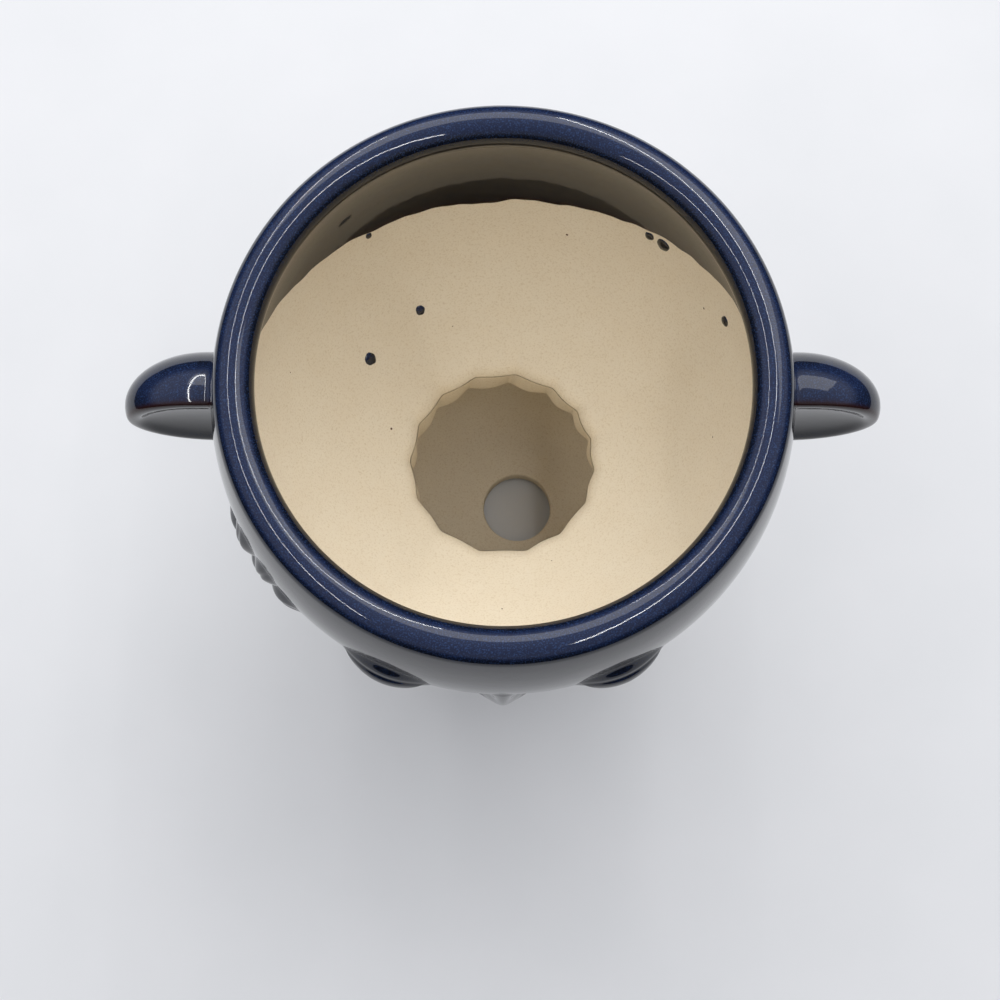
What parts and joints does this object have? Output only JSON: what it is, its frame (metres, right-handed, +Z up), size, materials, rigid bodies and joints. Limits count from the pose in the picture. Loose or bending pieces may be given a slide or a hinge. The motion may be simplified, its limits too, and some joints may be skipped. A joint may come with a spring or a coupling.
{
  "type": "head-shaped tabletop planter",
  "caption": "Hollow glazed stoneware head, open at the top for a plant, on a scalloped neck collar and a hollow foot with a drain hole.",
  "frame": {"origin": "centre of the planter's bounding box on the plane that its foot ring rests on, within a millimetre of the head's axis", "axes": "+Z up along the head's axis, +X to the viewer's right across the ears, the face looks along -Y"},
  "size_m": [0.218, 0.1618, 0.198],
  "materials": {
    "bare_clay": "bisque fired stoneware, unglazed, fine dark specks",
    "blue_glaze": "dark cobalt blue gloss glaze, breaking to brown on edges"
  },
  "bodies": {
    "root": {"head_wall": "bare_clay", "neck_collar": "bare_clay", "foot_wall": "bare_clay", "head_glaze": "blue_glaze", "collar_glaze": "blue_glaze", "foot_glaze": "blue_glaze", "glaze_spots": "blue_glaze", "left_ear": "blue_glaze", "right_ear": "blue_glaze", "left_upper_lid": "blue_glaze", "left_lower_lid": "blue_glaze", "right_upper_lid": "blue_glaze", "right_lower_lid": "blue_glaze", "nose": "blue_glaze", "upper_lip": "blue_glaze", "lower_lip": "blue_glaze", "petal_1": "blue_glaze", "petal_2": "blue_glaze", "petal_3": "blue_glaze", "petal_4": "blue_glaze", "petal_5": "blue_glaze", "petal_6": "blue_glaze", "petal_7": "blue_glaze", "petal_8": "blue_glaze", "flower_centre": "blue_glaze"}
  },
  "joints": []
}
